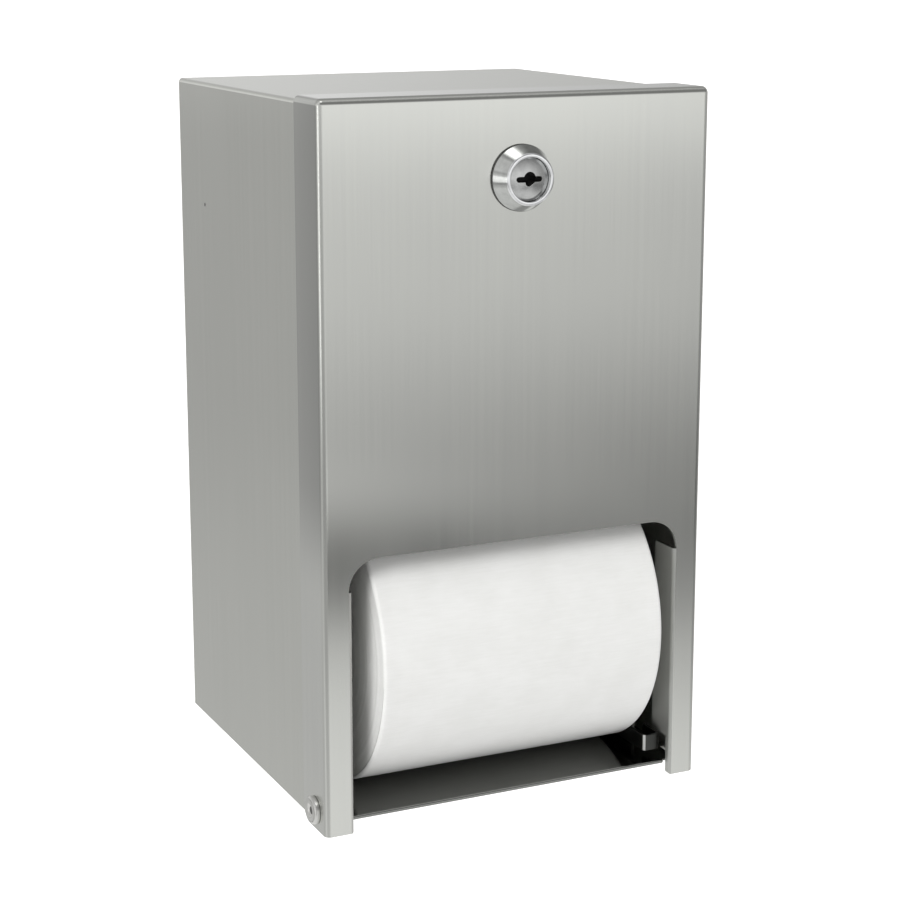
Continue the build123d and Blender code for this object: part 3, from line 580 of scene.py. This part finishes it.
def makeLockHousing():
    look = lockLook
    front, shoulder, rear = look["bezelLength"], look["bezelLength"] - look["pocket"], -look["barrelLength"]
    profile = roundedProfile([
        (shoulder, look["bore"], 0), (shoulder, look["mouth"], look["pocketEdge"]),
        (front, look["mouth"], look["mouthEdge"]), (front, look["bezelFront"], look["frontEdge"]),
        (look["lip"], look["bezelFoot"], look["lipEdge"]), (0.0, look["bezelFoot"], look["footEdge"]),
        (0.0, look["barrel"], 0),
    ])
    along = -look["threadFrom"]
    while along > rear + look["threadPitch"]:
        profile += [
            (along, look["barrel"]), (along - look["threadPitch"] / 2, look["barrel"] - look["threadDepth"]),
        ]
        along -= look["threadPitch"]
    profile += [
        (rear + look["chamfer"], look["barrel"]), (rear, look["barrel"] - look["chamfer"]),
        (rear, look["bore"]), (shoulder, look["bore"]),
    ]
    shape = turned(profile, look["around"], atLock)
    for vertex in shape.verts:  # two flats along the barrel, behind the nut
        if vertex.co.y > (look["doorFace"] + look["flatsFrom"]) * mm:
            side = vertex.co.x - look["x"]
            vertex.co.x = look["x"] + max(-look["flats"] * mm, min(look["flats"] * mm, side))
    bmesh.ops.remove_doubles(shape, verts=shape.verts, dist=look["weld"] * mm)
    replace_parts(addPiece("lockHousing", meshFrom(shape, "lockHousing"), "lock_housing"), "lock_housing")
    outside, inside, top = look["seamRadius"], look["seamRadius"] - look["seamWidth"], look["seamHeight"]
    seam = turned([  # the dark ring round the foot of the bezel: painted shadow where it meets the door
        (0.0, outside), (top * look["seamShoulder"], outside), (top, outside - look["seamBevel"]),
        (top, inside), (0.0, inside), (0.0, outside),
    ], look["around"], atLock)
    bmesh.ops.remove_doubles(seam, verts=seam.verts, dist=look["weld"] * mm)
    bmesh.ops.recalc_face_normals(seam, faces=seam.faces)
    ring = addPiece("lockFootShade", meshFrom(seam, "lockFootShade"), "lock_housing")
    ring.data.materials[0] = paintedCreviceShade


def keywayOutline():  # a slot with round ends, an eye a little above its middle and a small lobe below it
    look = lockLook
    slotHalf = look["keyWidth"] / 2
    slotEnd = look["keyLength"] / 2 - slotHalf
    rounds = [
        (Vector(look["eyeAt"]), look["eye"] / 2), (Vector(look["lobeAt"]), look["lobe"] / 2),
        (Vector((slotEnd, 0.0)), slotHalf), (Vector((-slotEnd, 0.0)), slotHalf),
    ]
    outline = []
    for k in range(look["aroundKeyway"]):
        turn = 2 * math.pi * (k + 0.5) / look["aroundKeyway"]
        direction = Vector((math.cos(turn), math.sin(turn)))
        reach = min(slotEnd / abs(direction.x), slotHalf / abs(direction.y))
        for middle, radius in rounds:  # how far out this round still covers the direction
            along = direction.dot(middle)
            gap = along ** 2 - middle.length_squared + radius ** 2
            if gap > 0 and along + math.sqrt(gap) > 0:
                reach = max(reach, along + math.sqrt(gap))
        outline.append(direction * reach)
    return outline


def closedWalls(loops):  # walls from each loop of points to the next, closed over the first and the last
    shape = bmesh.new()
    rings = [[shape.verts.new(spot) for spot in loop] for loop in loops]
    shape.faces.new(rings[0])
    shape.faces.new(rings[-1])
    for first, second in zip(rings, rings[1:]):
        joinRings(shape, first, second)
    bmesh.ops.recalc_face_normals(shape, faces=shape.faces)
    return shape


def makeLockPlug():
    look = lockLook
    front = look["bezelLength"] - look["plugRecess"]
    rim, shoulder, rear = front - look["plugDome"], front - look["plugDepth"], -look["barrelLength"]
    face = look["plugFace"]
    radii = [face * k / look["domeRings"] for k in range(look["domeRings"] - 1)]
    dome = [(front - look["plugDome"] * (radius / face) ** 2, radius) for radius in radii]
    shape = turned(dome + roundedProfile([
        (rim + look["edgeRise"], face - look["edgeInset"], 0), (rim, face, look["plugEdge"]),
        (rim - look["skirt"], face, 0), (shoulder, face, 0),
        (shoulder, look["plugShank"], 0), (rear, look["plugShank"], 0), (rear, look["tenon"], 0),
        (rear - look["tenonLength"], look["tenon"], 0), (rear - look["tenonLength"], 0.0, 0),
    ]), look["around"], atLock)
    bmesh.ops.remove_doubles(shape, verts=shape.verts, dist=look["weld"] * mm)
    outline = keywayOutline()

    def keywayLoop(depth, size=1.0):  # the keyway's outline at a depth behind the plug's face
        return [atLock(front - depth, spot.x * size, spot.y * size) for spot in outline]

    plug = bpy.data.objects.new("plugBlank", meshFrom(shape, "plugBlank"))
    cutter = closedWalls([keywayLoop(-look["cutterReach"]), keywayLoop(look["keyDepth"])])
    keyhole = bpy.data.objects.new("keyholeCutter", meshFrom(cutter, "keyholeCutter"))
    for blank in (plug, keyhole):
        bpy.context.scene.collection.objects.link(blank)
    cut = plug.modifiers.new("keyhole", "BOOLEAN")
    cut.operation, cut.object, cut.solver = "DIFFERENCE", keyhole, "EXACT"
    rounding = plug.modifiers.new("rounding", "BEVEL")
    rounding.width, rounding.segments = look["keyRounding"] * mm, look["keyRoundingSteps"]
    rounding.limit_method, rounding.angle_limit = "ANGLE", math.radians(look["keyRoundingFrom"])
    bpy.context.view_layer.update()
    mesh = bpy.data.meshes.new_from_object(plug.evaluated_get(bpy.context.evaluated_depsgraph_get()))
    mesh.name = "lockPlug"
    bpy.data.objects.remove(plug)
    bpy.data.objects.remove(keyhole)
    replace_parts(addPiece("lockPlug", mesh, "lock_plug"), "lock_plug")
    liner = closedWalls([  # the keyway's walls and bottom, painted black for the shade deep inside it
        keywayLoop(look["keyDepth"] - look["linerBack"], look["linerOuter"]),
        keywayLoop(look["linerInset"], look["linerOuter"]),
        keywayLoop(look["linerInset"], look["linerInner"]),
        keywayLoop(look["keyDepth"] - look["linerFloor"], look["linerInner"]),
    ])
    keyway = addPiece("lockKeyway", meshFrom(liner, "lockKeyway"), "lock_plug")
    keyway.data.materials[0] = keywayShade


makeLockHousing()
makeLockPlug()
print("stage: the lock is turned and its keyway is cut")


# Hinge rivets: a low head with a rolled rim and the dimple that its punch leaves, and an upset inner end. The
# painted shade in the dimple is given as height over its floor, and share of its radius.
rivetLook = {
    "height": 2.1, "rim": 5.28, "rimDrop": 0.25, "edge": 1.3, "seatEdge": 0.08,
    "crown": 3.6, "crownDrop": 0.04, "crownEdge": 0.8,
    "dimple": 2.0, "dimpleDepth": 0.8, "dimpleFoot": 0.8, "dimpleMouth": 1.25, "dimpleEdge": 0.4,
    "shank": 2.5, "shopHead": 4.0, "shopHeight": 1.9, "neckEdge": 0.3, "shopEdge": 0.5,
    "around": 72, "aroundGrime": 48,
    "dimpleShade": [(-0.1, 0.0), (-0.1, 0.75), (0.05, 0.75), (0.14, 0.45), (0.12, 0.0)],
}


def makeHingeRivets():
    look = rivetLook
    low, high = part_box("hinge_rivets")
    seat = high.x / mm - look["height"]
    top, dimpleFloor = seat + look["height"], seat + look["height"] - look["dimpleDepth"]
    middleY, middleZ = (low.y + high.y) / 2 / mm, (low.z + high.z) / 2 / mm
    inner = min(abs(vertex.co.x) for vertex in nodes["hinge_rivets"].data.vertices) / mm
    neck = inner + look["shopHeight"]
    rivet = roundedProfile([
        (dimpleFloor, 0.0, 0), (dimpleFloor, look["dimple"] * look["dimpleFoot"], look["dimpleEdge"]),
        (top, look["dimple"] * look["dimpleMouth"], look["dimpleEdge"]),
        (top - look["crownDrop"], look["crown"], look["crownEdge"]),
        (top - look["rimDrop"], look["rim"], look["edge"]), (seat, look["rim"], look["seatEdge"]),
        (seat, look["shank"], 0), (neck, look["shank"], 0), (neck, look["shopHead"], look["neckEdge"]),
        (inner, look["shopHead"], look["shopEdge"]), (inner, 0.0, 0),
    ])
    dimpleShade = [(dimpleFloor + up, look["dimple"] * share) for up, share in look["dimpleShade"]]

    def onBothSides(profile, around, pieceName):
        both = bmesh.new()
        for side in (-1, 1):
            half = meshFrom(turned(
                profile, around,
                lambda along, y, z: Vector((side * along, middleY + y, middleZ + z)) * mm,
            ), "half")
            both.from_mesh(half)
            bpy.data.meshes.remove(half)
        return addPiece(pieceName, meshFrom(both, pieceName), "hinge_rivets")

    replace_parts(onBothSides(rivet, look["around"], "hingeRivets"), "hinge_rivets")
    onBothSides(dimpleShade, look["aroundGrime"], "rivetDimpleShade").data.materials[0] = paintedCreviceShade


makeHingeRivets()
print("stage: the hinge rivets are headed")


# A spot weld's print on the left side, which grinding has left a little proud
weldLook = {"y": -28.7, "z": 83.9, "radius": 0.8, "top": 0.56, "proud": 0.06, "root": 0.1, "around": 32}


def makeWeldPrint():
    look = weldLook
    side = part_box("cabinet_wrap")[0].x / mm
    shape = turned(
        [(-look["root"], 0.0), (-look["root"], look["radius"]), (0.0, look["radius"]),
         (look["proud"], look["top"]), (look["proud"], 0.0)], look["around"],
        lambda along, y, z: Vector((side - along, look["y"] + y, look["z"] + z)) * mm,
    )
    mark = addPiece("weldPrint", meshFrom(shape, "weldPrint"), "cabinet_wrap")
    mark.data.materials[0] = dulledAndShadedStainless


makeWeldPrint()


# Paper rolls: one long sheet wound round the core, with its tail tucked behind. Creases are given as millimetres
# in from each end, and are fainter at the right one.
rollLook = {
    "around": 240, "acrossRows": 60, "endRings": 46, "shoulder": 1.5, "shoulderSteps": 6, "tailStep": 0.18,
    "softness": 0.16, "lumpAlong": 0.02, "lumpAround": 1.3,
    "windingDepth": 0.22, "ripple": 0.12, "rippleScale": 3,
    "creaseRows": (5.0, 7.5, 12.0), "creaseDepth": 0.09, "creaseWidth": 0.5, "creaseShareRight": 0.5,
}


def unitNoise(spot):  # smooth noise from 0 to 1
    return 0.5 + 0.5 * noise.noise(spot)


def makePaperRoll(nodeName, pieceName, seed, tailAngle):
    look = rollLook
    low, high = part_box(nodeName)
    centre = (low + high) / 2 / mm
    half, outer = (high.x - low.x) / 2 / mm, (high.z - low.z) / 2 / mm
    inner = (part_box(nodeName.replace("paper_roll", "core"))[1].z / mm) - centre.z
    randomiser = random.Random(seed)
    shoulder, steps, rings, across = look["shoulder"], look["shoulderSteps"], look["endRings"], look["acrossRows"]
    thickness, flat = outer - shoulder - inner, 2 * half - 2 * shoulder
    edge = [(-half, inner + thickness * k / (rings - 1), "end") for k in range(rings)]
    for k in range(1, steps + 1):
        turn = math.pi / 2 * k / steps
        edge.append((-half + shoulder * (1 - math.cos(turn)), outer - shoulder * (1 - math.sin(turn)), "side"))
    rows = edge + [(-half + shoulder + flat * k / across, outer, "side") for k in range(1, across)]
    rows += [(-x, radius, kind) for x, radius, kind in reversed(edge)]  # from the left bore edge to the right one
    jitter = [randomiser.uniform(0.0, 1.0) for _ in rows]
    shape = bmesh.new()
    grid = []
    for index, (x, radius, kind) in enumerate(rows):
        ring = []
        for k in range(look["around"]):
            turn = 2 * math.pi * k / look["around"]
            fromTail = ((turn - math.radians(tailAngle)) % (2 * math.pi)) / (2 * math.pi)
            lumpY, lumpZ = math.cos(turn) * look["lumpAround"], math.sin(turn) * look["lumpAround"] + seed
            spot = Vector((x * look["lumpAlong"], lumpY, lumpZ))
            here, at = radius, x
            if kind == "side":
                crease = look["creaseDepth"] * (1.0 if x < 0 else look["creaseShareRight"]) * sum(
                    math.exp(-((half - abs(x) - row) / look["creaseWidth"]) ** 2) for row in look["creaseRows"]
                )
                here -= look["softness"] * unitNoise(spot) + crease + look["tailStep"] * fromTail
            else:
                inward = look["windingDepth"] * jitter[index]
                inward += look["ripple"] * unitNoise(spot * look["rippleScale"] + Vector((0, 0, radius)))
                at = x + inward * (1 if x < 0 else -1)
                if 0 < index < len(rows) - 1:  # each turn of paper winds outwards by one ring
                    here += thickness / (rings - 1) * (fromTail - 0.5)
            ring.append(shape.verts.new((
                (centre.x + at) * mm, (centre.y + here * math.cos(turn)) * mm,
                (centre.z + here * math.sin(turn)) * mm,
            )))
        grid.append(ring)
    for first, second in zip(grid, grid[1:] + grid[:1]):
        joinRings(shape, first, second)
    bmesh.ops.recalc_face_normals(shape, faces=shape.faces)
    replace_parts(addPiece(pieceName, meshFrom(shape, pieceName), nodeName), nodeName)


makePaperRoll("lower_paper_roll", "lowerPaperRoll", 3, 285.0)
makePaperRoll("upper_paper_roll", "upperPaperRoll", 8, 60.0)
print("stage: the paper rolls are wound")


# Camera: where the photograph was taken from
cameraLook = {
    "place": (-0.3476, -0.8301, 0.1853), "yaw": 25.24, "pitch": -12.2, "lens": 86.04, "shift": -0.05,
    "clip": (0.01, 30),
}
camera = bpy.data.objects.new("camera", bpy.data.cameras.new("camera"))
bpy.context.scene.collection.objects.link(camera)
camera.location = cameraLook["place"]
camera.rotation_euler = (math.radians(90 + cameraLook["pitch"]), 0, math.radians(-cameraLook["yaw"]))
camera.data.lens, camera.data.shift_y = cameraLook["lens"], cameraLook["shift"]
camera.data.clip_start, camera.data.clip_end = cameraLook["clip"]
bpy.context.scene.camera = camera


# Floor: a pale cyclorama in metres, well below because the dispenser hangs on a wall. The dome that closes it is
# given as share of the wall's radius, and height over the wall's top.
floorLook = {
    "level": -0.95, "flatRadius": 1.6, "bend": 1.8, "bendSteps": 12, "wallTop": 2.6, "around": 96,
    "dome": [(0.8, 1.2), (0.0, 1.8)], "tone": "#F4F4F2", "glow": 0.62,
}


def makeFloor():
    look = floorLook
    flat, bend, wallTop = look["flatRadius"], look["bend"], look["wallTop"]
    profile = [(0.0, 0.0), (0.0, flat)]
    for k in range(1, look["bendSteps"] + 1):
        turn = math.pi / 2 * k / look["bendSteps"]
        profile.append((bend * (1 - math.cos(turn)), flat + bend * math.sin(turn)))
    profile.append((wallTop, flat + bend))
    profile += [(wallTop + up, (flat + bend) * share) for share, up in look["dome"]]
    shape = turned(
        profile, look["around"], lambda up, across, deep: Vector((across, deep, look["level"] + up))
    )
    bmesh.ops.reverse_faces(shape, faces=shape.faces)
    floor = bpy.data.objects.new("paleFloor", meshFrom(shape, "paleFloor"))
    bpy.context.scene.collection.objects.link(floor)
    for polygon in floor.data.polygons:
        polygon.use_smooth = True
    material, tree = newMaterial("matteWhiteCyclorama")
    shader = addNode(tree, "BsdfPrincipled", {
        "Base Color": linearFromHex(look["tone"]), "Roughness": 0.9, "Specular IOR Level": 0.0,
        "Emission Color": linearFromHex("#FFFFFF"), "Emission Strength": look["glow"],
    })
    finishMaterial(tree, shader)
    floor.data.materials.append(material)
    floor.visible_diffuse = floor.visible_glossy = floor.visible_shadow = False


makeFloor()


# Studio light. The steel mirrors the studio round it: a brightness for each height, in front and behind, with
# soft boxes and dark flags laid over it. Angles are in degrees: turn runs from -Y towards +X, and height from
# level up.
studioLook = {
    "front": [
        (-90, 0.85), (-34, 0.95), (-22.2, 1.02), (-21.3, 1.0), (-20.3, 0.97), (-19.4, 0.87), (-18.3, 0.76),
        (-17, 0.68), (-15, 0.65), (-14, 0.66), (-12.5, 0.73), (-11, 0.8), (-9.8, 0.86), (-8, 0.87), (-7, 0.88),
        (-6, 0.95), (-4.8, 1.1), (-4, 1.18), (0, 1.15), (6, 1.0), (14, 0.52), (24, 0.26), (46, 0.28),
        (62, 0.6), (90, 0.7),
    ],
    "behind": [
        (-90, 0.95), (-36, 0.95), (-27, 0.68), (-17, 0.6), (-13, 0.54), (-5, 0.54), (-3, 0.62), (0, 0.9),
        (3, 0.98), (8, 0.94), (20, 0.65), (32, 0.5), (60, 0.6), (90, 0.7),
    ],
    "blend": 0.25,
}
# Each patch has its middle, half its width and height, how far it fades beyond them, and the brightness that it
# adds or the share of the studio's that it changes. Below its middle a patch can end more sharply than above.
studioPatches = [
    {"name": "darkFlag", "turn": 10, "height": -16.55, "halfWidth": 12.5, "halfHeight": 0.5,
     "softTurn": 12, "softHeight": 1.25, "share": -0.98},
    {"name": "darkFlagRight", "turn": 46, "height": -15.0, "halfWidth": 8, "halfHeight": 0.3,
     "softTurn": 20, "softHeight": 6, "belowIsTighter": 3.5, "share": -0.66},
    {"name": "lowGlowLeft", "turn": 6, "height": -14.6, "halfWidth": 11, "halfHeight": 0.35,
     "softTurn": 10, "softHeight": 0.8, "add": 0.44},
    {"name": "highGlow", "turn": 29, "height": -3.6, "halfWidth": 2, "halfHeight": 0.6,
     "softTurn": 6, "softHeight": 1.4, "add": 0.25},
    {"name": "rightFalloff", "turn": 66, "height": 0, "halfWidth": 18, "halfHeight": 16,
     "softTurn": 24, "softHeight": 10, "share": -0.55},
    {"name": "leftFrontFalloff", "turn": -42, "height": -10, "halfWidth": 22, "halfHeight": 12,
     "softTurn": 18, "softHeight": 8, "share": -0.38},
    {"name": "sideSoftBox", "turn": -74, "height": -4, "halfWidth": 6, "halfHeight": 6,
     "softTurn": 4, "softHeight": 4, "add": 1.25},
    {"name": "highSoftBox", "turn": -16, "height": 66, "halfWidth": 22, "halfHeight": 5,
     "softTurn": 12, "softHeight": 5, "add": 2.2},
    {"name": "upperLeftFill", "turn": -66, "height": 34, "halfWidth": 16, "halfHeight": 13,
     "softTurn": 16, "softHeight": 10, "add": 0.6},
    {"name": "lowFrontFlag", "turn": 36, "height": -41, "halfWidth": 22, "halfHeight": 6,
     "softTurn": 16, "softHeight": 8, "share": -0.55},
    {"name": "rearRightFalloff", "turn": 138, "height": 4, "halfWidth": 6, "halfHeight": 8,
     "softTurn": 20, "softHeight": 8, "share": -0.35},
]


def makeStudio():
    world = bpy.data.worlds.new("softStudio")
    bpy.context.scene.world = world
    world.use_nodes = True
    tree = world.node_tree
    tree.nodes.clear()
    place = addNode(tree, "TexCoord")
    way = addNode(tree, "SeparateXYZ", links={0: place.outputs["Generated"]})
    height = addNode(tree, "Math", {"operation": "ARCSINE"}, {0: way.outputs["Z"]})
    ramps = []
    for side in ("front", "behind"):
        stops = [((angle + 90) / 180, (b, b, b, 1.0)) for angle, b in studioLook[side]]
        level = addNode(
            tree, "MapRange", fromTo((-math.pi / 2, math.pi / 2), (0.0, 1.0)), {0: height.outputs[0]}
        )
        ramps.append(addNode(tree, "ValToRGB", {"stops": stops}, {0: level.outputs[0]}))
    blend = studioLook["blend"]
    blendOver = addNode(
        tree, "MapRange", fromTo((-blend, blend), (0.0, 1.0), smooth=True), {0: way.outputs["Y"]}
    )
    both = addNode(
        tree, "Mix", {"data_type": "RGBA"},
        {0: blendOver.outputs[0], 6: ramps[0].outputs[0], 7: ramps[1].outputs[0]},
    )
    bright = both.outputs[2]
    for patch in studioPatches:
        turn = math.radians(patch["turn"])
        rotated = addNode(  # the looked-at direction, with the patch's middle turned to -Y
            tree, "VectorRotate", {"rotation_type": "Z_AXIS", "Angle": -turn},
            {"Vector": place.outputs["Generated"]},
        )
        part = addNode(tree, "SeparateXYZ", links={0: rotated.outputs[0]})
        forward = addNode(tree, "Math", {"operation": "MULTIPLY", 1: -1.0}, {0: part.outputs["Y"]})
        away = addNode(tree, "Math", {"operation": "ARCTAN2"}, {0: part.outputs["X"], 1: forward.outputs[0]})
        masks = []
        for source, middle, half, soft, tighter in (
            (away.outputs[0], 0.0, patch["halfWidth"], patch["softTurn"], 1.0),
            (height.outputs[0], math.radians(patch["height"]), patch["halfHeight"], patch["softHeight"],
             patch.get("belowIsTighter", 1.0)),
        ):
            offset = addNode(tree, "Math", {"operation": "SUBTRACT", 1: middle}, {0: source})
            below = addNode(tree, "Math", {"operation": "MULTIPLY", 1: -tighter}, {0: offset.outputs[0]})
            size = addNode(
                tree, "Math", {"operation": "MAXIMUM"}, {0: offset.outputs[0], 1: below.outputs[0]}
            )
            fade = (math.radians(half), math.radians(half + soft))
            masks.append(addNode(
                tree, "MapRange", fromTo(fade, (1.0, 0.0), smooth=True), {0: size.outputs[0]}
            ))
        mask = addNode(
            tree, "Math", {"operation": "MULTIPLY"}, {0: masks[0].outputs[0], 1: masks[1].outputs[0]}
        )
        if "add" in patch:
            gain = addNode(tree, "Math", {"operation": "MULTIPLY", 1: patch["add"]}, {0: mask.outputs[0]})
            bright = addNode(
                tree, "VectorMath", {"operation": "ADD"}, {0: bright, 1: gain.outputs[0]}
            ).outputs[0]
        else:
            gain = addNode(
                tree, "MapRange", fromTo((0.0, 1.0), (1.0, 1.0 + patch["share"])), {0: mask.outputs[0]}
            )
            bright = addNode(
                tree, "VectorMath", {"operation": "SCALE"}, {0: bright, "Scale": gain.outputs[0]}
            ).outputs[0]
    light = addNode(tree, "Background", {"Strength": 1.0}, {"Color": bright})
    addNode(tree, "OutputWorld", links={"Surface": light.outputs[0]})


makeStudio()

# The lamps only light: what the steel mirrors of them is in the studio above. Place, width, height and watts
lampLook = {
    "keyLampLeft": ((-1.5, -1.0, 0.9), 0.8, 0.7, 14.5), "fillLampRight": ((0.9, -1.3, 0.0), 0.8, 0.8, 3.3),
}
for lampName, (spot, width, height, watts) in lampLook.items():
    lampData = bpy.data.lights.new(lampName, "AREA")
    lampData.shape, lampData.size, lampData.size_y, lampData.energy = "RECTANGLE", width, height, watts
    lamp = bpy.data.objects.new(lampName, lampData)
    bpy.context.scene.collection.objects.link(lamp)
    lamp.location = spot
    lamp.rotation_mode = "QUATERNION"
    lamp.rotation_quaternion = (-Vector(spot)).to_track_quat("-Z", "Y")
    lamp.visible_camera = lamp.visible_glossy = False

view = bpy.context.scene.view_settings
view.view_transform, view.look = "Standard", "None"
print("stage: camera, floor and light are set")
